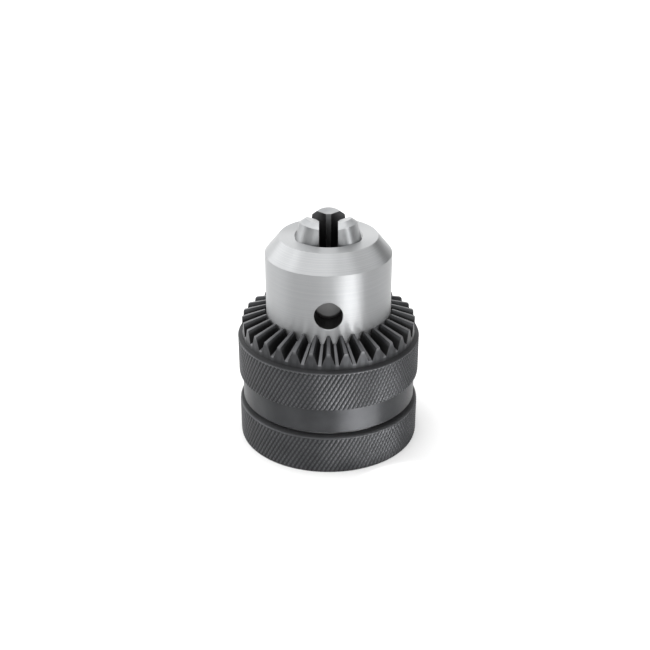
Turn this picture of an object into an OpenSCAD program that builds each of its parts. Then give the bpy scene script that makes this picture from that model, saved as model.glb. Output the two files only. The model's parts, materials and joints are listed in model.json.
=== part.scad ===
// Keyed three-jaw drill chuck, 13 mm capacity, with a 1/2-20 UNF spindle thread.
// The chuck stands on its rear face at z = 0, and +Z runs along the spindle axis towards the jaws.
// Turning the sleeve clockwise, seen from the jaws, drives the jaws forward and closes them.

/* [Grip bands] */
// Diameter over the two knurled bands
grip_d = 43; // [42.9:0.1:43.4]
// Height of the rear knurled ring
rear_ring_h = 9.3; // [9:0.1:9.5]
// Height of the smooth waist's lower edge above the rear ring
skirt_gap = 0.8; // [0.6:0.1:1]
// Diameter of the smooth waist
waist_d = 41.2; // [41:0.1:41.4]
// Height where the front knurled band begins
band_z = 16.4; // [16:0.1:16.8]
// Height where the front knurled band ends
band_top_z = 25.8; // [25.5:0.1:26]

/* [Nose] */
// Diameter of the turned nose
nose_d = 29.3; // [29.2:0.1:29.4]
// Height of the nose face above the rear face
face_z = 50.2; // [50:0.1:50.4]
// Height of the turned chamfer at the nose
nose_chamfer_h = 4; // [3.5:0.1:4.5]
// Outer diameter of the flat nose face
face_d = 22.8; // [22:0.1:23.5]
// Diameter of the mouth and of the throat behind it
throat_d = 15; // [14.8:0.1:15.2]

/* [Key teeth] */
// Number of bevel teeth round the sleeve
tooth_count = 33; // [31:1:35]
// Outside diameter of the toothed ring
tooth_d = 40.8; // [40.6:0.1:41]
// Height of the tooth tips at the outside
tip_z = 30.1; // [29.8:0.1:30.4]
// Depth of a tooth space at the outside
tooth_depth = 2.8; // [2.5:0.1:2.9]
// Width of a tooth space's floor at the outside
floor_w = 0.9; // [0.7:0.05:1.1]
// Width of a tooth's tip land at the outside
land_w = 0.85; // [0.6:0.05:1]

/* [Key holes] */
// Diameter of the hole that guides the key's pilot
key_hole_d = 6.5; // [6.3:0.1:6.6]
// Depth of a key hole below the nose surface
key_hole_depth = 6; // [5.5:0.1:6.2]
// Height of the key holes, which is also the apex of the bevel teeth
key_z = 36.5; // [36.3:0.1:36.7]

/* [Jaws] */
// Diameter of the round jaw blank
jaw_d = 8.4; // [8.3:0.05:8.4]
// Angle between a jaw and the spindle axis
jaw_angle = 15; // [14.9:0.1:15.1]
// Radius of a jaw's axis at the nose face
jaw_face_r = 3.65; // [3.6:0.05:3.65]
// Width of the gripping land
jaw_land_w = 1.2; // [1:0.1:1.4]
// Diameter of the drill shank that the jaws are drawn set to
set_d = 5.6; // [5.4:0.1:5.8]
// Height of the gripping land's top at that setting
jaw_tip_z = 54.2; // [54:0.1:54.4]
// Height of the jaws' rear ends at that setting
jaw_tail_z = 14.2; // [14.2:0.1:14.6]
// Largest shank diameter that the jaws open to
max_d = 13; // [12.5:0.1:13]

/* [Jaw thread] */
// Pitch along the jaw
thread_pitch = 2.5; // [2.5:0.05:2.6]
// Clearance between the nut's thread flanks and the jaws'
thread_play = 0.15; // [0.13:0.01:0.16]

/* [Thrust bearing] */
// Number of balls
ball_count = 30; // [24:1:30]
// Diameter of a ball
ball_d = 2; // [1.9:0.05:2]
// Thickness of each race
race_t = 0.9; // [0.8:0.05:0.9]

/* [Spindle thread] */
// Minor diameter of the tapped socket
socket_d = 11.5; // [11.4:0.1:11.6]
// Depth of the tapped socket
socket_depth = 16; // [15:0.5:16]

/* [Hidden] */
$fn = 96;
JAW_AZIMUTHS = [90, 210, 330];
KEY_AZIMUTHS = [270, 30, 150];
function ball_name(i) = str("ball_", i < 10 ? "0" : "", i);

STEEL = [0.74, 0.75, 0.76];
BLACK_OXIDE = [0.16, 0.16, 0.17];
NUT_STEEL = [0.5, 0.48, 0.45];
BRASS = [0.78, 0.62, 0.3];

grip_r = grip_d / 2;
waist_r = waist_d / 2;
nose_r = nose_d / 2;
face_r = face_d / 2;
throat_r = throat_d / 2;
tooth_r = tooth_d / 2;
socket_r = socket_d / 2;
jaw_r = jaw_d / 2;
ball_r = ball_d / 2;

// Shell of the sleeve, and the hub that it turns on.
sleeve_wall = 1;
sleeve_bore_r = waist_r - sleeve_wall;
hub_r = sleeve_bore_r - 0.1;
hub_z = 14.55;
nose_play = 0.2;
sleeve_nose_r = nose_r + nose_play;
band_chamfer = 0.2;
ring_top_chamfer = 0.5;
ledge_h = 0.2;

// Thrust bearing, stacked on the hub.
race_in_r = 16.7;
race_out_r = hub_r - 0.1;
race_gap = 1.6;
race_groove_play = 0.05;
ball_pitch_r = (race_in_r + race_out_r) / 2;
ball_z = hub_z + race_t + race_gap / 2;
upper_race_z = ball_z + race_gap / 2;
cage_t = 0.6;
pocket_play = 0.08;

// Nut, between the upper race and the sleeve's ceiling.
nut_z = upper_race_z + race_t;
nut_top_z = 26.2;
nut_r = sleeve_bore_r - 0.05;
nut_split = 0.1;
groove_top_z = nut_top_z + 0.2;
core_play = 0.25;

// Body bores.
jaw_bore_play = 0.08;
bore_low_s = -22;
bore_high_s = 38;
throat_floor_z = 19;
web_hole_r = 3.4;
floor_cone = 0.6;
mouth_chamfer = 0.3;
socket_chamfer = 0.8;
countersink = 0.15;

// A jaw's line of travel. In its own mid plane, s runs up the jaw's axis from the nut's lower
// face, and h runs outwards from the axis, square to it.
function axis_r(z) = jaw_face_r + (face_z - z) * tan(jaw_angle);
nut_axis_r = axis_r(nut_z);
function line_r(s, h) = nut_axis_r - s * sin(jaw_angle) + h * cos(jaw_angle);
function line_z(s, h) = nut_z + s * cos(jaw_angle) + h * sin(jaw_angle);
function cone_r(z, h) = axis_r(z) + h / cos(jaw_angle);

// Jaw: its top, its relieved back, and how far it travels outwards to the largest shank.
land_r = set_d / 2;
jaw_top_s = (nut_axis_r - land_r) * sin(jaw_angle) + (jaw_tip_z - nut_z) * cos(jaw_angle);
jaw_tip_chamfer = 1.2;
relief_h = 2.9;
relief_r = 14;
relief_top_s = 24.4;
open_shift = (max_d - set_d) / 2;
tail_play = 0.15;

// Thread: the nut's ridge, and the jaw's groove round it.
ridge_crest_h = 2;
ridge_root_h = 3.1;
ridge_crest_half = 0.3;
thread_flank = 16.2;
ridge_sink = 0.3;
groove_floor_h = 1.75;
groove_outer_h = 4.5;
thread_top_s = 23.3;
first_groove = -3;
last_groove = 9;
nut_mid_s = (nut_top_z - nut_z) / 2 / cos(jaw_angle);
helix_angle = atan(thread_pitch * cos(jaw_angle) / (2 * PI * line_r(nut_mid_s, ridge_crest_h)));

module ring(r_in, r_out, z0, z1) {
    rotate_extrude() translate([r_in, z0]) square([r_out - r_in, z1 - z0]);
}

// Places its children on a jaw's line of travel, with x along h and z along s.
module jaw_line(azimuth) {
    rotate([0, 0, azimuth]) translate([nut_axis_r, 0, nut_z]) rotate([0, -jaw_angle, 0]) children();
}

module jaw_bore(azimuth) {
    jaw_line(azimuth) translate([0, 0, bore_low_s])
        cylinder(r = jaw_r + jaw_bore_play, h = bore_high_s - bore_low_s);
}

// A blind key hole with a lightly countersunk rim, cut by one turned shape that runs past the nose.
module key_hole(azimuth) {
    past = 1;
    key_hole_r = key_hole_d / 2;
    rotate([0, 0, azimuth]) translate([nose_r, 0, key_z]) rotate([0, 90, 0])
        rotate_extrude() polygon([
            [0, -key_hole_depth],
            [key_hole_r, -key_hole_depth],
            [key_hole_r, -countersink],
            [key_hole_r + countersink + past, past],
            [0, past],
        ]);
}

module body() {
    core_low_r = cone_r(nut_z, ridge_crest_h) - core_play;
    core_high_r = cone_r(groove_top_z, ridge_crest_h) - core_play;
    color(STEEL) difference() {
        rotate_extrude() polygon([
            [web_hole_r, socket_depth],
            [socket_r, socket_depth],
            [socket_r, socket_chamfer],
            [socket_r + socket_chamfer, 0],
            [hub_r, 0],
            [hub_r, hub_z],
            [core_low_r, hub_z],
            [core_low_r, nut_z],
            [core_high_r, groove_top_z],
            [nose_r, groove_top_z],
            [nose_r, face_z - nose_chamfer_h],
            [face_r, face_z],
            [throat_r + mouth_chamfer, face_z],
            [throat_r, face_z - mouth_chamfer],
            [throat_r, throat_floor_z + (throat_r - web_hole_r) * floor_cone],
            [web_hole_r, throat_floor_z],
        ]);
        for (a = JAW_AZIMUTHS) jaw_bore(a);
        for (a = KEY_AZIMUTHS) key_hole(a);
    }
}

module rear_ring() {
    color(BLACK_OXIDE) rotate_extrude() polygon([
        [hub_r, 0],
        [grip_r - band_chamfer, 0],
        [grip_r, band_chamfer],
        [grip_r, rear_ring_h - ring_top_chamfer],
        [grip_r - ring_top_chamfer, rear_ring_h],
        [hub_r, rear_ring_h],
    ]);
}

// One tooth space: a pyramid whose four sides run to the apex of the bevel teeth.
module tooth_space() {
    reach = tooth_r + 2;
    grow = reach / tooth_r;
    above = 2;
    opening_w = 2 * PI * tooth_r / tooth_count - land_w;
    flank_slope = (opening_w - floor_w) / 2 / tooth_depth;
    floor_drop = (key_z - tip_z + tooth_depth) * grow;
    top_drop = (key_z - tip_z - above) * grow;
    floor_half = floor_w / 2 * grow;
    top_half = floor_half + (tooth_depth + above) * flank_slope * grow;
    translate([0, 0, key_z]) polyhedron(
        [[0, 0, 0],
         [reach, -floor_half, -floor_drop],
         [reach, floor_half, -floor_drop],
         [reach, top_half, -top_drop],
         [reach, -top_half, -top_drop]],
        [[0, 1, 2], [0, 2, 3], [0, 3, 4], [0, 4, 1], [4, 3, 2, 1]]);
}

module toothed_sleeve() {
    tip_slope = (key_z - tip_z) / tooth_r;
    first_space = 270 + 180 / tooth_count;
    color(BLACK_OXIDE) difference() {
        rotate_extrude() polygon([
            [sleeve_bore_r, rear_ring_h + skirt_gap],
            [waist_r, rear_ring_h + skirt_gap],
            [waist_r, band_z],
            [grip_r - band_chamfer, band_z],
            [grip_r, band_z + band_chamfer],
            [grip_r, band_top_z - band_chamfer],
            [grip_r - band_chamfer, band_top_z],
            [tooth_r, band_top_z + ledge_h],
            [tooth_r, tip_z],
            [sleeve_nose_r, key_z - sleeve_nose_r * tip_slope],
            [sleeve_nose_r, nut_top_z],
            [sleeve_bore_r, nut_top_z],
        ]);
        for (i = [0 : tooth_count - 1])
            rotate([0, 0, first_space + i * 360 / tooth_count]) tooth_space();
    }
}

// The nut's ridge, swept along the conical helix for the given number of turns.
module nut_ridge(first_turn, last_turn) {
    steps_per_turn = 48;
    steps = steps_per_turn * (last_turn - first_turn);
    base_h = ridge_root_h + ridge_sink;
    base_half = ridge_crest_half + (base_h - ridge_crest_h) * tan(thread_flank);
    section = [[-base_half, base_h], [-ridge_crest_half, ridge_crest_h],
               [ridge_crest_half, ridge_crest_h], [base_half, base_h]];
    n = len(section);
    function place(p, turn) =
        let (s = p[0] + thread_pitch * turn, a = 360 * turn)
        [line_r(s, p[1]) * cos(a), line_r(s, p[1]) * sin(a), line_z(s, p[1])];
    points = [for (i = [0 : steps], p = section) place(p, first_turn + i / steps_per_turn)];
    sides = [for (i = [0 : steps - 1], j = [0 : n - 1])
        let (k = (j + 1) % n)
        each [[i * n + j, (i + 1) * n + k, i * n + k],
              [i * n + j, (i + 1) * n + j, (i + 1) * n + k]]];
    ends = [[for (j = [0 : n - 1]) j], [for (j = [n - 1 : -1 : 0]) steps * n + j]];
    polyhedron(points, concat(sides, ends));
}

// Half of the split nut, on the +X side of the split or on the other.
module nut_half(side) {
    turns = (nut_top_z - nut_z) / (thread_pitch * cos(jaw_angle));
    color(NUT_STEEL) intersection() {
        union() {
            rotate_extrude() polygon([
                [cone_r(nut_z, ridge_root_h), nut_z],
                [nut_r, nut_z],
                [nut_r, nut_top_z],
                [cone_r(nut_top_z, ridge_root_h), nut_top_z],
            ]);
            nut_ridge(-2, ceil(turns) + 1);
        }
        rotate([0, 0, side > 0 ? 0 : 180]) translate([nut_split / 2, -grip_r, nut_z])
            cube([grip_r, grip_d, nut_top_z - nut_z]);
    }
}

// One groove of a jaw's thread: a tilted ring of the nut's own radius, s up the jaw's line.
module jaw_groove(azimuth, s) {
    floor_half = ridge_crest_half + thread_play / cos(thread_flank)
        - (ridge_crest_h - groove_floor_h) * tan(thread_flank);
    outer_half = floor_half + (groove_outer_h - groove_floor_h) * tan(thread_flank);
    mid_z = line_z(nut_mid_s, ridge_crest_h);
    climb = s - nut_mid_s;
    section = [[-outer_half, groove_outer_h], [-floor_half, groove_floor_h],
               [floor_half, groove_floor_h], [outer_half, groove_outer_h]];
    rotate([0, 0, azimuth])
        translate([-climb * sin(jaw_angle), 0, mid_z + climb * cos(jaw_angle)])
        rotate([helix_angle, 0, 0])
        rotate_extrude() polygon([for (p = section)
            [line_r(nut_mid_s + p[0], p[1]), line_z(nut_mid_s + p[0], p[1]) - mid_z]]);
}

// A jaw: a round blank with a three-cornered gripping end, relieved and grooved on its back.
// Each jaw's grooves follow the nut's helix at its own azimuth, so no two jaws are alike.
module jaw(azimuth) {
    reach = 30;
    half_land = jaw_land_w / 2;
    far_half = half_land + (reach - land_r) * tan(60);
    phase = thread_pitch * azimuth / 360;
    color(STEEL) difference() {
        intersection() {
            jaw_line(azimuth) {
                translate([0, 0, -10]) cylinder(r = jaw_r, h = jaw_top_s - jaw_tip_chamfer + 10);
                translate([0, 0, jaw_top_s - jaw_tip_chamfer])
                    cylinder(r1 = jaw_r, r2 = jaw_r - jaw_tip_chamfer, h = jaw_tip_chamfer);
            }
            rotate([0, 0, azimuth]) translate([0, 0, jaw_tail_z]) linear_extrude(50) polygon([
                [land_r, -half_land],
                [reach, -far_half],
                [reach, far_half],
                [land_r, half_land],
            ]);
            rotate([0, 0, azimuth]) translate([-open_shift, 0, 0])
                cylinder(r = hub_r - tail_play, h = 70);
        }
        jaw_line(azimuth) difference() {
            translate([0, -2 * jaw_r, -30]) cube([2 * jaw_r, 4 * jaw_r, 30 + relief_top_s]);
            translate([relief_h - relief_r, 0, -31]) cylinder(r = relief_r, h = 62 + relief_top_s);
        }
        for (k = [first_groove : last_groove])
            if (phase + k * thread_pitch < thread_top_s)
                jaw_groove(azimuth, phase + k * thread_pitch);
    }
}

// A race, with the balls' groove in the face that looks at them.
module race(z) {
    color(STEEL) difference() {
        ring(race_in_r, race_out_r, z, z + race_t);
        rotate_extrude() translate([ball_pitch_r, ball_z]) circle(r = ball_r + race_groove_play);
    }
}

module ball_cage() {
    color(BRASS) difference() {
        ring(race_in_r + 0.05, race_out_r, ball_z - cage_t / 2, ball_z + cage_t / 2);
        for (i = [1 : ball_count])
            rotate([0, 0, i * 360 / ball_count]) translate([ball_pitch_r, 0, ball_z - cage_t])
                cylinder(r = ball_r + pocket_play, h = 2 * cage_t);
    }
}

module ball(i) {
    color(STEEL) rotate([0, 0, i * 360 / ball_count]) translate([ball_pitch_r, 0, ball_z])
        sphere(r = ball_r);
}

body();
rear_ring();
toothed_sleeve();
nut_half(1);  // nut_half_a
nut_half(-1);  // nut_half_b
jaw(JAW_AZIMUTHS[0]);  // jaw_1
jaw(JAW_AZIMUTHS[1]);  // jaw_2
jaw(JAW_AZIMUTHS[2]);  // jaw_3
race(hub_z);  // lower_race
race(upper_race_z);  // upper_race
ball_cage();
for (i = [1 : ball_count]) ball(i);
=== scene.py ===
"""Looks of a keyed drill chuck: knurled bands, bevelled key teeth, turned steel and black oxide."""

import json
import math

import bpy
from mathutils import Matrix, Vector

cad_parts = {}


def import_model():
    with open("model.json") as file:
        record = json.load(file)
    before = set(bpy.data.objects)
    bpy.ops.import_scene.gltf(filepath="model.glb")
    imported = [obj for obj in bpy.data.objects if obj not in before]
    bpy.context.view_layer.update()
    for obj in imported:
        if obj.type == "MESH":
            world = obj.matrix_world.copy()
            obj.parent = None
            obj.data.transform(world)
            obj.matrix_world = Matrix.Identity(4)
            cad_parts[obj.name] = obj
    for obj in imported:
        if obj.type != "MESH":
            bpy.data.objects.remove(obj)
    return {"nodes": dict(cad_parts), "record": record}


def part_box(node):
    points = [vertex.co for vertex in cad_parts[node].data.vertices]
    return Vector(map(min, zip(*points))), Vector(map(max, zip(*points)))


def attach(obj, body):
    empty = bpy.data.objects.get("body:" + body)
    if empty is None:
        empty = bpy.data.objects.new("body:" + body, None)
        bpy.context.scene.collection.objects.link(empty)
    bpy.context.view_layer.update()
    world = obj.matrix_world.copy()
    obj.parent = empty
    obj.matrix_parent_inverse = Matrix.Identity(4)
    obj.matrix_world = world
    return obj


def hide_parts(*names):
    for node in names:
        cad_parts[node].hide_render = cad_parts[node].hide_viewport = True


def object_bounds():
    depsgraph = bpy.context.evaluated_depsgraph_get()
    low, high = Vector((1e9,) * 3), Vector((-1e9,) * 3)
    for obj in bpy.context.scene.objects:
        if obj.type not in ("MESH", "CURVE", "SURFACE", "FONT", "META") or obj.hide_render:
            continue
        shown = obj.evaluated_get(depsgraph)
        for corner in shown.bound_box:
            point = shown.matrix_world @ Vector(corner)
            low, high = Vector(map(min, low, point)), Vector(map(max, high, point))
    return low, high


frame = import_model()
cad_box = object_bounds()
MM = 0.001

# ---------------------------------------------------------------- sizes, in metres
ring_low, ring_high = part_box("rear_ring")
sleeve_low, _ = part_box("toothed_sleeve")
_, nut_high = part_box("nut_half_a")
_, body_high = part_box("body")

NUT_PLAY = 0.05 * MM
SLEEVE_WALL = 1.0 * MM
NOSE_CHAMFER_H = 4.0 * MM

GRIP_R = ring_high.x
HUB_R = body_high.x
RING_TOP = ring_high.z
SKIRT_Z = sleeve_low.z
SKIRT_ROUND = 0.15 * MM
NUT_TOP = nut_high.z
SLEEVE_BORE_R = nut_high.x + NUT_PLAY
WAIST_R = SLEEVE_BORE_R + SLEEVE_WALL
NOSE_R = 14.65 * MM
FACE_R = 11.4 * MM
FACE_Z = body_high.z
CHAMFER_Z = FACE_Z - NOSE_CHAMFER_H
BAND_Z = 16.4 * MM
BAND_TOP_Z = 25.8 * MM
LEDGE_TOP_Z = 26.0 * MM
BAND_CHAMFER = 0.2 * MM
RING_TOP_CHAMFER = 0.5 * MM

# Bevel key teeth, whose edges all run to an apex on the axis.
TOOTH_COUNT = 33
TOOTH_R = 20.4 * MM
TOOTH_INNER_R = 14.85 * MM
APEX_Z = 36.5 * MM
TIP_Z = 30.1 * MM
TOOTH_DEPTH = 2.8 * MM
LAND_W = 0.85 * MM
FLOOR_W = 0.9 * MM
EDGE_ROUND = 0.12 * MM

# The level of a black surface: near 0 a painted shade, blackest, in the recesses; the plain finish
# at 0.5; near 1 lighter, partly from rubbing in use and partly a painted highlight.
PLAIN_WEAR = 0.5
# Painted shade in the knurl grooves; the crests between them are lighter from rubbing and a painted
# highlight.
GROOVE_SHADE = 0.25
# Painted shade on the ledge under the teeth and on the upper chamfers of the knurled bands.
LEDGE_SHADE = 0.3
# A painted highlight line along the rim under each upper chamfer.
RIM_HIGHLIGHT = 0.85
# A painted highlight on the floors between the teeth, as if lit from above.
FLOOR_HIGHLIGHT = 0.88
# The tooth lands, from the inner end to the outer face: lighter from rubbing in use, and also a
# painted highlight.
LAND_WEAR_AND_HIGHLIGHT = [0.75, 0.8, 0.8, 0.85, 0.87]

# Diamond knurl: so many starts each way, and the height over which a groove gains one start.
# FLAT is the share of the way out of a groove where the crest begins, and FALLING_FLOOR is how
# much shallower the falling grooves are.
KNURL_STARTS = 128
KNURL_CELL_H = 1.828 * MM
KNURL_DEPTH = 0.24 * MM
KNURL_FLAT = 0.92
FALLING_FLOOR = 0.30
KNURL_STEPS = 8
KNURL_COLUMNS = KNURL_STARTS * KNURL_STEPS
ROW_MARGIN = 0.02 * MM
PLAIN_COLUMNS = 256

# The spindle thread in the rear socket: 20 turns to the inch.
SOCKET_R = 5.75 * MM
THREAD_PITCH = 1.27 * MM
THREAD_LOW = 1.5 * MM
THREAD_TOP = 14.6 * MM
THREAD_HEIGHT = 0.3 * MM
THREAD_ROOT = 0.06 * MM
THREAD_STEPS = 48
THREAD_FADE = THREAD_STEPS / 3
THREAD_LEAST_RISE = 0.08
# Half widths of the ridge, as shares of the pitch.
THREAD_ROOT_HALF = 0.42
THREAD_CREST_HALF = 0.10

SHARP_ANGLE = math.radians(28)


# ---------------------------------------------------------------- mesh tools
def link_object(name, data):
    obj = bpy.data.objects.new(name, data)
    bpy.context.scene.collection.objects.link(obj)
    return obj


def smooth_object(name, points, faces, shade_and_wear=None):
    """An object of these points and faces, smooth but for its sharp edges."""
    mesh = bpy.data.meshes.new(name)
    mesh.from_pydata(points, [], faces)
    mesh.validate()
    # The per-point level of painted shade, plain finish, rubbing and painted highlight, read by the
    # black material.
    if shade_and_wear:
        mesh.attributes.new("shade_and_wear", "FLOAT", "POINT").data.foreach_set("value", shade_and_wear)
    mesh.shade_smooth()
    mesh.set_sharp_from_angle(angle=SHARP_ANGLE)
    return link_object(name, mesh)


class Shell:
    """A closed mesh made of rings round the Z axis, each joined to the one before."""

    def __init__(self):
        self.points = []
        self.faces = []
        self.shade_and_wear = []
        self.rings = []

    def ring(self, angles, radii, heights, shade_and_wear=None):
        """Adds a ring of points, and returns its number."""
        first = len(self.points)
        for i, a in enumerate(angles):
            self.points.append((radii[i] * math.cos(a), radii[i] * math.sin(a), heights[i]))
            self.shade_and_wear.append(shade_and_wear[i] if shade_and_wear else PLAIN_WEAR)
        self.rings.append((first, list(angles)))
        return len(self.rings) - 1

    def plain(self, r, z, columns=PLAIN_COLUMNS):
        """Adds a level circle."""
        angles = [math.tau * i / columns for i in range(columns)]
        return self.ring(angles, [r] * columns, [z] * columns)

    def join(self, a, b, diagonal=None):
        """Joins two rings that have the same number of points, with four-sided faces, or with
        triangles where diagonal says which way each face is cut."""
        fa, angles = self.rings[a]
        fb = self.rings[b][0]
        n = len(angles)
        for i in range(n):
            k = (i + 1) % n
            if diagonal is None:
                self.faces.append((fa + i, fa + k, fb + k, fb + i))
            elif diagonal(i):
                self.faces.append((fa + i, fa + k, fb + k))
                self.faces.append((fa + i, fb + k, fb + i))
            else:
                self.faces.append((fa + i, fa + k, fb + i))
                self.faces.append((fa + k, fb + k, fb + i))

    def zip(self, a, b):
        """Joins two rings that have different numbers of points, with triangles."""
        fa, aa = self.rings[a]
        fb, ab = self.rings[b]
        na, nb = len(aa), len(ab)
        start = min(range(nb), key=lambda j: abs(math.remainder(ab[j] - aa[0], math.tau)))
        offset = math.remainder(ab[start] - aa[0], math.tau)

        def angle_a(i):
            return (aa[i % na] - aa[0]) % math.tau + (math.tau if i >= na else 0)

        def angle_b(j):
            turned = (ab[(start + j) % nb] - ab[start]) % math.tau
            return turned + offset + (math.tau if j >= nb else 0)

        i = j = 0
        while i < na or j < nb:
            step_a = j == nb or (i < na and angle_a(i + 1) <= angle_b(j + 1))
            pa, pb = fa + i % na, fb + (start + j) % nb
            if step_a:
                i += 1
                self.faces.append((pa, fa + i % na, pb))
            else:
                j += 1
                self.faces.append((pa, fb + (start + j) % nb, pb))

    def build(self, name):
        return smooth_object(name, self.points, self.faces, self.shade_and_wear)


def groove_distance(phase):
    """0 in the middle of a groove, 1 half way between two."""
    part = phase % 1.0
    return 2 * min(part, 1 - part)


def knurl_height(column, z):
    """Depth below the crest, and how exposed the point is, at a column and a height.
    The grooves that rise with the angle are cut deeper than the ones that fall."""
    turn = column / KNURL_STEPS
    rising = groove_distance(turn - z / KNURL_CELL_H)
    falling = groove_distance(turn + z / KNURL_CELL_H)
    level = min(rising, FALLING_FLOOR + falling, KNURL_FLAT) / KNURL_FLAT
    return KNURL_DEPTH * (1 - level), level


def knurled_band(shell, z0, z1, low_chamfer, high_chamfer):
    """Adds a knurled band, and returns the numbers of its first and last rings.
    The grooves stop at a smooth rim under the upper chamfer."""
    row_h = KNURL_CELL_H / KNURL_STEPS
    first_row = math.ceil((z0 + ROW_MARGIN) / row_h)
    last_row = math.floor((z1 - ROW_MARGIN) / row_h)
    heights = [z0] + [k * row_h for k in range(first_row, last_row + 1)] + [z1]
    rows = [first_row - 1] + list(range(first_row, last_row + 1)) + [last_row + 1]
    angles = [math.tau * i / KNURL_COLUMNS for i in range(KNURL_COLUMNS)]
    made = []
    for z in heights:
        limit = GRIP_R - max(0, low_chamfer - (z - z0), high_chamfer - (z1 - z))
        # Rows in the upper chamfer get the ledge's painted shade.
        chamfer_shade = LEDGE_SHADE if z1 - z < high_chamfer else PLAIN_WEAR
        # The row at the rim gets a painted highlight line.
        rim = abs(z1 - z - high_chamfer) < row_h / 2
        radii, shade_and_wear = [], []
        for i in range(KNURL_COLUMNS):
            depth, level = knurl_height(i, z)
            if rim:
                radii.append(limit)
                shade_and_wear.append(RIM_HIGHLIGHT)
            elif GRIP_R - depth < limit:
                radii.append(GRIP_R - depth)
                # Painted shade in the grooves, rising to the lighter crests.
                shade_and_wear.append(GROOVE_SHADE + (1 - GROOVE_SHADE) * level)
            else:
                radii.append(limit)
                shade_and_wear.append(chamfer_shade)
        made.append(shell.ring(angles, radii, [z] * KNURL_COLUMNS, shade_and_wear))
    for n in range(len(made) - 1):
        row = rows[n]
        shell.join(made[n], made[n + 1],
                   diagonal=lambda i, j=row: (i + j + 1) % KNURL_STEPS != 0)
    return made[0], made[-1]


def tooth_profile():
    """One tooth pitch as (angle from the tooth's middle, depth share), and its angle.
    Half a tooth runs from the land, round a small corner, down the flank at a third and two
    thirds of its width, and round a second corner to the floor."""
    pitch = math.tau / TOOTH_COUNT
    land = LAND_W / 2 / TOOTH_R
    floor = pitch / 2 - FLOOR_W / 2 / TOOTH_R
    soft = EDGE_ROUND / TOOTH_R
    span = floor - land
    corner = EDGE_ROUND / 2 / TOOTH_DEPTH
    half = [
        (0.0, 0.0),
        (land - soft, 0.0),
        (land, corner * 0.4),
        (land + soft * 0.6, corner * 1.5 + soft * 0.6 / span * 0.6),
        (land + span * 0.35, 0.35),
        (land + span * 0.65, 0.65),
        (floor - soft * 0.6, 1 - corner * 1.5),
        (floor, 1 - corner * 0.4),
        (floor + soft, 1.0),
        (pitch / 2, 1.0),
    ]
    return [(-a, d) for a, d in reversed(half[1:-1])] + half, pitch


def toothed_sleeve():
    """The sleeve: smooth waist, knurled band, narrow ledge, key teeth and the bores inside."""
    s = Shell()
    profile, pitch = tooth_profile()
    angles, depths = [], []
    first = -math.pi / 2 - pitch * (TOOTH_COUNT // 4)
    for t in range(TOOTH_COUNT):
        for a, d in profile:
            angles.append(first + t * pitch + a)
            depths.append(d)
    n = len(angles)
    slope_tip = (APEX_Z - TIP_Z) / TOOTH_R
    slope_more = TOOTH_DEPTH / TOOTH_R

    def crown(r, drop, shade_and_wear, least=0.0):
        """Lands are lighter from rubbing in use and a painted highlight, the floors between the
        teeth get a painted highlight, and the flanks a painted shade.
        """
        heights = [APEX_Z - (slope_tip + slope_more * d) * r - drop for d in depths]
        shade_and_wear_levels = [max(least, FLOOR_HIGHLIGHT if d == 1 else shade_and_wear * (1 - d) ** 4) for d in depths]
        return s.ring(angles, [r] * n, heights, shade_and_wear_levels)

    # Down the inside, from the teeth to the skirt.
    edge = EDGE_ROUND
    ceiling = s.ring(angles, [TOOTH_INNER_R] * n, [NUT_TOP] * n)
    inner = crown(TOOTH_INNER_R, edge, LAND_WEAR_AND_HIGHLIGHT[0])
    inner_top = crown(TOOTH_INNER_R + edge, 0, LAND_WEAR_AND_HIGHLIGHT[1])
    middle = crown((TOOTH_INNER_R + TOOTH_R) / 2, 0, LAND_WEAR_AND_HIGHLIGHT[2])
    outer_top = crown(TOOTH_R - edge, 0, LAND_WEAR_AND_HIGHLIGHT[3])
    # The outer faces get no painted shade below the plain finish.
    outer = crown(TOOTH_R, edge, LAND_WEAR_AND_HIGHLIGHT[4], least=PLAIN_WEAR)
    # The ledge under the teeth gets a painted shade.
    base = s.ring(angles, [TOOTH_R] * n, [LEDGE_TOP_Z] * n, [LEDGE_SHADE] * n)
    for a, b in ((outer, base), (outer_top, outer), (middle, outer_top),
                 (inner_top, middle), (inner, inner_top), (ceiling, inner)):
        s.join(b, a)

    # The knurled band below the ledge.
    band_low, band_high = knurled_band(s, BAND_Z, BAND_TOP_Z, BAND_CHAMFER, BAND_CHAMFER)
    s.zip(band_high, base)

    # The waist, with broken edges, and the bore.
    waist_top = s.plain(WAIST_R, BAND_Z)
    waist_low = s.plain(WAIST_R, SKIRT_Z + SKIRT_ROUND)
    skirt_out = s.plain(WAIST_R - SKIRT_ROUND, SKIRT_Z)
    skirt_in = s.plain(SLEEVE_BORE_R + SKIRT_ROUND, SKIRT_Z)
    bore_low = s.plain(SLEEVE_BORE_R, SKIRT_Z + SKIRT_ROUND)
    bore_top = s.plain(SLEEVE_BORE_R, NUT_TOP)
    s.zip(waist_top, band_low)
    s.join(waist_low, waist_top)
    s.join(skirt_out, waist_low)
    s.join(skirt_in, skirt_out)
    s.join(bore_low, skirt_in)
    s.join(bore_top, bore_low)
    s.zip(ceiling, bore_top)
    return s.build("toothed_sleeve_shell")


def rear_ring():
    """The knurled ring pressed on the hub."""
    s = Shell()
    low, high = knurled_band(s, ring_low.z, RING_TOP, BAND_CHAMFER, RING_TOP_CHAMFER)
    inner_low = s.plain(HUB_R, ring_low.z)
    inner_top = s.plain(HUB_R, RING_TOP)
    s.zip(high, inner_top)
    s.join(inner_top, inner_low)
    s.zip(inner_low, low)
    return s.build("rear_ring_knurled")


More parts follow.
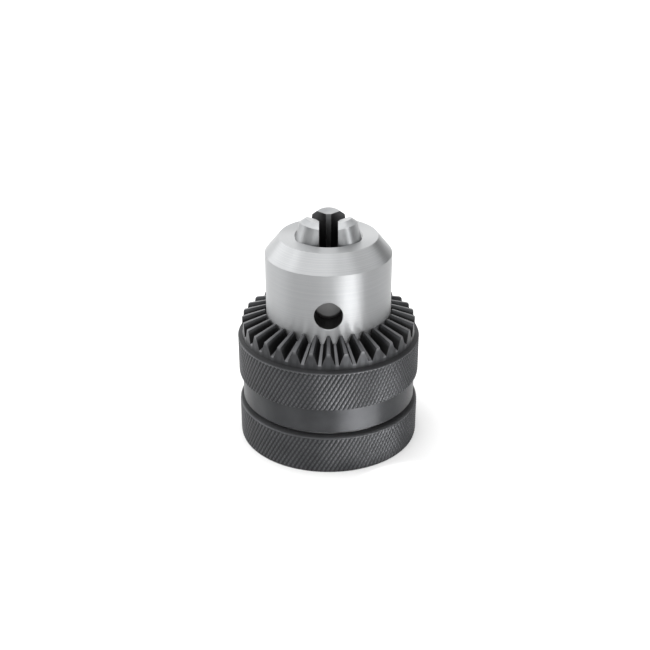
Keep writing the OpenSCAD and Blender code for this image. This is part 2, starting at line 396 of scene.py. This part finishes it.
def spindle_thread():
    """The ridge of the spindle thread, wound up the rear socket and fading out at both ends."""
    turns = (THREAD_TOP - THREAD_LOW) / THREAD_PITCH
    sections = round(turns * THREAD_STEPS)
    points, faces = [], []
    for i in range(sections + 1):
        angle = math.tau * i / THREAD_STEPS
        z = THREAD_LOW + THREAD_PITCH * i / THREAD_STEPS
        rise = max(THREAD_LEAST_RISE, min(1, i / THREAD_FADE, (sections - i) / THREAD_FADE))
        root = SOCKET_R + THREAD_ROOT
        crest = root - (THREAD_ROOT + THREAD_HEIGHT) * rise
        for r, dz in ((root, -THREAD_ROOT_HALF), (crest, -THREAD_CREST_HALF),
                      (crest, THREAD_CREST_HALF), (root, THREAD_ROOT_HALF)):
            points.append((r * math.cos(angle), r * math.sin(angle), z + dz * THREAD_PITCH))
        if i:
            a, b = 4 * (i - 1), 4 * i
            faces += [(a + k, a + (k + 1) % 4, b + (k + 1) % 4, b + k) for k in range(4)]
    faces += [(3, 2, 1, 0), tuple(4 * sections + k for k in range(4))]
    return smooth_object("spindle_thread_ridge", points, faces)


# ---------------------------------------------------------------- materials
KEY_HOLES = 3
JAWS = 3
# The ends of the key holes, painted a half shade lighter than the painted shade of the bore walls:
# how far from the axis, and where their lighter middles fade into that darker painted shade.
HOLE_END_R = 8.9 * MM
HOLE_END_MIDDLE = 2.5 * MM
HOLE_END_EDGE = 2.9 * MM
HOLE_END_HALF_SHADE = (0.20, 0.20, 0.20)
# How far below the nose's outside the painted shade on the walls of the bores begins, and its
# colour.
NOSE_BORE_SHADE = (0.25 * MM, (0.030, 0.029, 0.028))
BUMP_HEIGHT = 0.02 * MM


class Nodes:
    """A short way to write a node material."""

    def __init__(self, name):
        self.material = bpy.data.materials.new(name)
        self.material.use_nodes = True
        self.tree = self.material.node_tree
        self.shader = self.tree.nodes["Principled BSDF"]

    def add(self, kind, inputs=None, **settings):
        node = self.tree.nodes.new(kind)
        for key, value in settings.items():
            setattr(node, key, value)
        for key, value in (inputs or {}).items():
            if isinstance(value, bpy.types.NodeSocket):
                self.tree.links.new(value, node.inputs[key])
            else:
                node.inputs[key].default_value = value
        return node

    def math(self, operation, a, b=0.0):
        return self.add("ShaderNodeMath", {0: a, 1: b}, operation=operation).outputs[0]

    def ramp(self, value, low, high, to_low=0.0, to_high=1.0):
        inputs = {"Value": value, "From Min": low, "From Max": high,
                  "To Min": to_low, "To Max": to_high}
        return self.add("ShaderNodeMapRange", inputs).outputs["Result"]

    def mix(self, share, a, b):
        node = self.add("ShaderNodeMix", {"Factor": share}, data_type="RGBA")
        for socket, value in ((node.inputs[6], a), (node.inputs[7], b)):
            if isinstance(value, bpy.types.NodeSocket):
                self.tree.links.new(value, socket)
            else:
                socket.default_value = (*value, 1)
        return node.outputs[2]

    def noise(self, vector, scale, detail=3.0):
        inputs = {"Vector": vector, "Scale": scale, "Detail": detail}
        return self.add("ShaderNodeTexNoise", inputs).outputs["Fac"]

    def put(self, **values):
        for key, value in values.items():
            socket = self.shader.inputs[key.replace("_", " ")]
            if isinstance(value, bpy.types.NodeSocket):
                self.tree.links.new(value, socket)
            else:
                socket.default_value = value

    def bump(self, height, strength):
        inputs = {"Height": height, "Strength": strength, "Distance": BUMP_HEIGHT}
        node = self.add("ShaderNodeBump", inputs)
        self.put(Normal=node.outputs["Normal"])


def object_space(m):
    return m.add("ShaderNodeTexCoord").outputs["Object"]


def lathe_space(m):
    """Object coordinates as (radius, height, 0), so that a pattern runs round the part."""
    x, y, z = m.add("ShaderNodeSeparateXYZ", {"Vector": object_space(m)}).outputs
    r = m.math("SQRT", m.math("ADD", m.math("MULTIPLY", x, x), m.math("MULTIPLY", y, y)))
    return m.add("ShaderNodeCombineXYZ", {"X": r, "Y": z}).outputs[0]


def key_hole_end_half_shade(m, r, z):
    """1 on the drilled ends of the three key holes, which get a painted half shade lighter than the
    bore walls, fading before their edges so that their rims keep the darker painted shade.
    """
    x, y, _ = m.add("ShaderNodeSeparateXYZ", {"Vector": object_space(m)}).outputs
    turned = m.math("MULTIPLY", m.math("ARCTAN2", y, x), KEY_HOLES)
    across = m.math("MULTIPLY", m.math("MULTIPLY", m.math("COSINE", turned), r), 1 / KEY_HOLES)
    up = m.math("SUBTRACT", z, APEX_Z)
    away = m.math("ADD", m.math("MULTIPLY", across, across), m.math("MULTIPLY", up, up))
    disc = m.ramp(m.math("SQRT", away), HOLE_END_EDGE, HOLE_END_MIDDLE)
    depth = m.math("ABSOLUTE", m.math("SUBTRACT", r, HOLE_END_R))
    return m.math("MULTIPLY", disc, m.ramp(depth, 0.5 * MM, 0.4 * MM))


def turned_steel(name, light, dark, roughness, inside=None):
    """Satin steel with fine tool marks that run round the axis.
    Inside is (wall, colour): surfaces that far below the nose's outside, the walls of the bores,
    get that colour as a painted shade, and the ends of the key holes a lighter painted half shade."""
    m = Nodes(name)
    lathe = lathe_space(m)
    marks = m.noise(lathe, 5200, 4)
    cloud = m.noise(object_space(m), 90, 3)
    colour = m.mix(m.ramp(marks, 0.3, 0.7), dark, light)
    if inside:
        # Painted shade on the walls of the bores, below the nose's outside.
        wall, bore_shade_colour = inside
        r, z, _ = m.add("ShaderNodeSeparateXYZ", {"Vector": lathe}).outputs
        cone = m.ramp(z, FACE_Z, CHAMFER_Z, FACE_R, NOSE_R)
        depth = m.math("SUBTRACT", cone, r)
        in_bore_shade = m.math("MULTIPLY", m.ramp(depth, wall, wall + 0.1 * MM),
                        m.ramp(z, FACE_Z - 0.3 * MM, FACE_Z - 0.6 * MM))
        in_bore_shade = m.math("MULTIPLY", in_bore_shade, m.ramp(z, 0.3 * MM, 0.8 * MM))
        colour = m.mix(in_bore_shade, colour, bore_shade_colour)
        # The key hole ends get a painted half shade, lighter than the bore walls.
        colour = m.mix(key_hole_end_half_shade(m, r, z), colour, HOLE_END_HALF_SHADE)
    m.put(Base_Color=colour)
    rough = m.math("ADD", m.ramp(marks, 0.3, 0.7, -0.04, 0.04),
                   m.ramp(cloud, 0.3, 0.7, -0.03, 0.03))
    m.put(Roughness=m.math("ADD", rough, roughness), Metallic=1.0)
    m.put(Anisotropic=0.85, Anisotropic_Rotation=0.25)
    m.bump(marks, 0.08)
    return m.material


def ground_steel(name, light, dark, roughness, flank_shade_colour):
    """Hardened jaw steel, ground in fine lines along the jaw. The flanks, the upright surfaces that
    look towards the axis, get a painted shade in the given dark colour; on the narrow gripping land
    between two flanks that painted shade is weaker, so the land is lighter."""
    m = Nodes(name)
    coordinates = m.add("ShaderNodeTexCoord")
    space, normal = coordinates.outputs["Object"], coordinates.outputs["Normal"]
    stretched = m.add("ShaderNodeMapping", {"Vector": space, "Scale": (1, 1, 0.06)})
    lines = m.noise(stretched.outputs[0], 4200, 3)
    cloud = m.noise(space, 260, 3)
    px, py, _ = m.add("ShaderNodeSeparateXYZ", {"Vector": space}).outputs
    nx, ny, nz = m.add("ShaderNodeSeparateXYZ", {"Vector": normal}).outputs
    outward = m.math("ADD", m.math("MULTIPLY", px, nx), m.math("MULTIPLY", py, ny))
    upright = m.ramp(m.math("ABSOLUTE", nz), 0.12, 0.06)
    # Painted shade on the flanks that look towards the axis.
    flank = m.math("MULTIPLY", m.ramp(outward, -0.2 * MM, -0.6 * MM), upright)
    colour = m.mix(m.ramp(cloud, 0.35, 0.65), dark, light)
    turned = m.math("MULTIPLY", m.math("ARCTAN2", ny, nx), JAWS)
    land = m.ramp(m.math("SINE", turned), 0.4, 0.8)
    # The painted shade is weaker on the land between two flanks.
    flank = m.math("MULTIPLY", flank, m.ramp(land, 0, 1, 1, 0.35))
    m.put(Base_Color=m.mix(flank, colour, flank_shade_colour), Metallic=1.0)
    m.put(Roughness=m.math("ADD", m.ramp(lines, 0.3, 0.7, -0.06, 0.06), roughness))
    m.bump(lines, 0.2)
    return m.material


def black_oxide(name):
    """Blackened steel, semi-gloss, with a painted shade near black in its recesses, lighter where
    hands and keys rub it, and lighter still where painted highlights lie.
    """
    m = Nodes(name)
    space = object_space(m)
    cloud = m.noise(space, 150, 4)
    grain = m.noise(space, 3800, 3)
    colour = m.mix(m.ramp(cloud, 0.3, 0.7), (0.031, 0.032, 0.034), (0.047, 0.048, 0.051))
    rough = m.math("ADD", m.ramp(grain, 0.3, 0.7, -0.05, 0.05), 0.42)
    shade_and_wear = m.add("ShaderNodeAttribute", attribute_name="shade_and_wear").outputs["Fac"]
    # Painted shade: where the level is low, in the recesses, the colour goes close to black, and
    # those places are also rougher.
    painted_shade = m.ramp(shade_and_wear, 0.1, PLAIN_WEAR, 0.95, 0.0)
    colour = m.mix(painted_shade, colour, (0.006, 0.006, 0.006))
    rough = m.math("ADD", rough, m.math("MULTIPLY", painted_shade, 0.4))
    # Lighter where the level is high: on tooth lands and knurl crests from rubbing and also a
    # painted highlight, on the tooth floors and rims a painted highlight only.
    wear_and_highlight = m.math("MULTIPLY", m.ramp(shade_and_wear, 0.75, 1.0), m.ramp(cloud, 0.25, 0.75, 0.35, 0.85))
    colour = m.mix(wear_and_highlight, colour, (0.25, 0.25, 0.26))
    m.put(Base_Color=colour, Metallic=0.75, Anisotropic=0.8, Anisotropic_Rotation=0.25)
    m.put(Roughness=rough)
    m.bump(grain, 0.15)
    return m.material


def satin_brass(name):
    """Rolled brass with a fine grain."""
    m = Nodes(name)
    grain = m.noise(object_space(m), 2500, 3)
    m.put(Base_Color=m.mix(grain, (0.55, 0.38, 0.14), (0.72, 0.52, 0.22)), Metallic=1.0)
    m.put(Roughness=m.ramp(grain, 0.3, 0.7, 0.3, 0.42))
    m.bump(grain, 0.1)
    return m.material


def dress(obj, material):
    obj.data.materials.clear()
    obj.data.materials.append(material)


steel = turned_steel("turned_steel", (0.33, 0.335, 0.34), (0.28, 0.285, 0.29), 0.40, NOSE_BORE_SHADE)
jaw_steel = ground_steel("jaw_steel", (0.31, 0.315, 0.32), (0.24, 0.245, 0.25), 0.34,
                         flank_shade_colour=(0.08, 0.08, 0.082))
bearing_steel = turned_steel("bearing_steel", (0.70, 0.71, 0.73), (0.62, 0.63, 0.65), 0.18)
nut_steel = turned_steel("nut_steel", (0.34, 0.32, 0.30), (0.24, 0.23, 0.22), 0.42)
black = black_oxide("black_oxide")
brass = satin_brass("cage_brass")

SLOT_MATERIAL = {
    "bright_steel": steel, "jaw_steel": jaw_steel, "bearing_steel": bearing_steel,
    "nut_steel": nut_steel, "black_oxide": black, "cage_brass": brass,
}
for row in frame["record"]["subparts"]:
    dress(frame["nodes"][row["node"]], SLOT_MATERIAL[row["material_slot"]])

sleeve = toothed_sleeve()
dress(sleeve, black)
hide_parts("toothed_sleeve")
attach(sleeve, "sleeve")

ring = rear_ring()
dress(ring, black)
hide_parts("rear_ring")
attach(ring, "chuck_body")

thread = spindle_thread()
dress(thread, steel)
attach(thread, "chuck_body")


# ---------------------------------------------------------------- floor, light and camera
# Azimuths on the stage are degrees round the chuck: 0 is the camera's side, + to its right.
FLOOR_REACH = 3.0
FLOOR_GAP = 0.02 * MM
AMBIENT = 0.22
# Soft panels of the studio: azimuth, elevation, where the edge starts and ends, radiance.
PANELS = [
    (-31, 64, 38, 46, 2.25),
    (-105, 22, 18, 40, 2.4),
    (98, 46, 22, 38, 1.45),
    (42, 7, 7, 15, 5.0),
    (0, 8, 6, 20, 1.8),
    (-168, 30, 26, 48, 1.75),
]
# Bright patches on the table, which the upright surfaces mirror: azimuth, how far out,
# half the width, power of the lamp.
PATCHES = [
    (31, 47 * MM, 16 * MM, 210),
    (50, 64 * MM, 14 * MM, 70),
    (42, 94 * MM, 32 * MM, 33),
]
LAMP_ELEVATION = 62
LAMP_DISTANCE = 0.6
# How much wider a lamp's beam is than its patch, because its soft edge looks narrower.
BEAM_MARGIN = 1.35
SENSOR_W = 36
LENS = 57.78
CAMERA_SHIFT = -0.0054
CAMERA_DOWN = 26.01
CAMERA_PLACE = (0, -222.7 * MM, 136.0 * MM)


def floor():
    """A plain pale floor just under the chuck."""
    z = cad_box[0].z - FLOOR_GAP
    corners = [(-FLOOR_REACH, -FLOOR_REACH, z), (FLOOR_REACH, -FLOOR_REACH, z),
               (FLOOR_REACH, FLOOR_REACH, z), (-FLOOR_REACH, FLOOR_REACH, z)]
    mesh = bpy.data.meshes.new("floor")
    mesh.from_pydata(corners, [], [(0, 1, 2, 3)])
    obj = link_object("floor", mesh)
    m = Nodes("floor")
    tint = m.noise(object_space(m), 3, 2)
    m.put(Base_Color=m.mix(tint, (0.70, 0.70, 0.70), (0.72, 0.72, 0.72)), Roughness=0.9)
    dress(obj, m.material)


def direction(azimuth, elevation):
    """A unit vector from the chuck."""
    a, e = math.radians(azimuth), math.radians(elevation)
    return Vector((math.sin(a) * math.cos(e), -math.cos(a) * math.cos(e), math.sin(e)))


def table_spot(name, azimuth, out, half_width, power):
    """A lamp high on the right that lights a round patch of the table and misses the chuck."""
    patch = direction(azimuth, 0) * out
    away = direction(azimuth, LAMP_ELEVATION)
    lamp = bpy.data.lights.new(name, "SPOT")
    lamp.energy = power
    lamp.shadow_soft_size = 0.0
    lamp.spot_size = 2 * math.atan(BEAM_MARGIN * half_width / LAMP_DISTANCE)
    lamp.spot_blend = 1.0
    obj = link_object(name, lamp)
    obj.location = patch + away * LAMP_DISTANCE
    obj.rotation_mode = "QUATERNION"
    obj.rotation_quaternion = away.to_track_quat("Z", "Y")


def world(ambient, panels):
    """A white studio: an even ambient light, and wide soft panels far away."""
    studio = bpy.data.worlds.new("studio")
    studio.use_nodes = True
    tree = studio.node_tree
    look = tree.nodes.new("ShaderNodeTexCoord").outputs["Generated"]
    total = None
    for azimuth, elevation, inner, outer, radiance in panels:
        dot = tree.nodes.new("ShaderNodeVectorMath")
        dot.operation = "DOT_PRODUCT"
        tree.links.new(look, dot.inputs[0])
        dot.inputs[1].default_value = direction(azimuth, elevation)
        edge = tree.nodes.new("ShaderNodeMapRange")
        edge.interpolation_type = "SMOOTHSTEP"
        tree.links.new(dot.outputs["Value"], edge.inputs["Value"])
        edge.inputs["From Min"].default_value = math.cos(math.radians(outer))
        edge.inputs["From Max"].default_value = math.cos(math.radians(inner))
        edge.inputs["To Max"].default_value = radiance
        add = tree.nodes.new("ShaderNodeMath")
        add.inputs[0].default_value = ambient
        if total is not None:
            tree.links.new(total, add.inputs[0])
        tree.links.new(edge.outputs["Result"], add.inputs[1])
        total = add.outputs[0]
    # What the camera sees directly is plain white.
    backdrop = tree.nodes.new("ShaderNodeMix")
    tree.links.new(tree.nodes.new("ShaderNodeLightPath").outputs["Is Camera Ray"],
                   backdrop.inputs["Factor"])
    tree.links.new(total, backdrop.inputs["A"])
    backdrop.inputs["B"].default_value = 1.0
    tree.links.new(backdrop.outputs["Result"], tree.nodes["Background"].inputs["Strength"])
    tree.nodes["Background"].inputs["Color"].default_value = (1, 1, 1, 1)
    bpy.context.scene.world = studio


def camera():
    """Looks down at the chuck from the front."""
    data = bpy.data.cameras.new("camera")
    data.sensor_width = SENSOR_W
    data.lens = LENS
    data.shift_x = CAMERA_SHIFT
    obj = link_object("camera", data)
    obj.location = CAMERA_PLACE
    obj.rotation_euler = (math.radians(90 - CAMERA_DOWN), 0, 0)
    bpy.context.scene.camera = obj


floor()
world(AMBIENT, PANELS)
for number, patch in enumerate(PATCHES):
    table_spot("table_spot_%d" % number, *patch)
bpy.context.scene.view_settings.view_transform = "Standard"
camera()
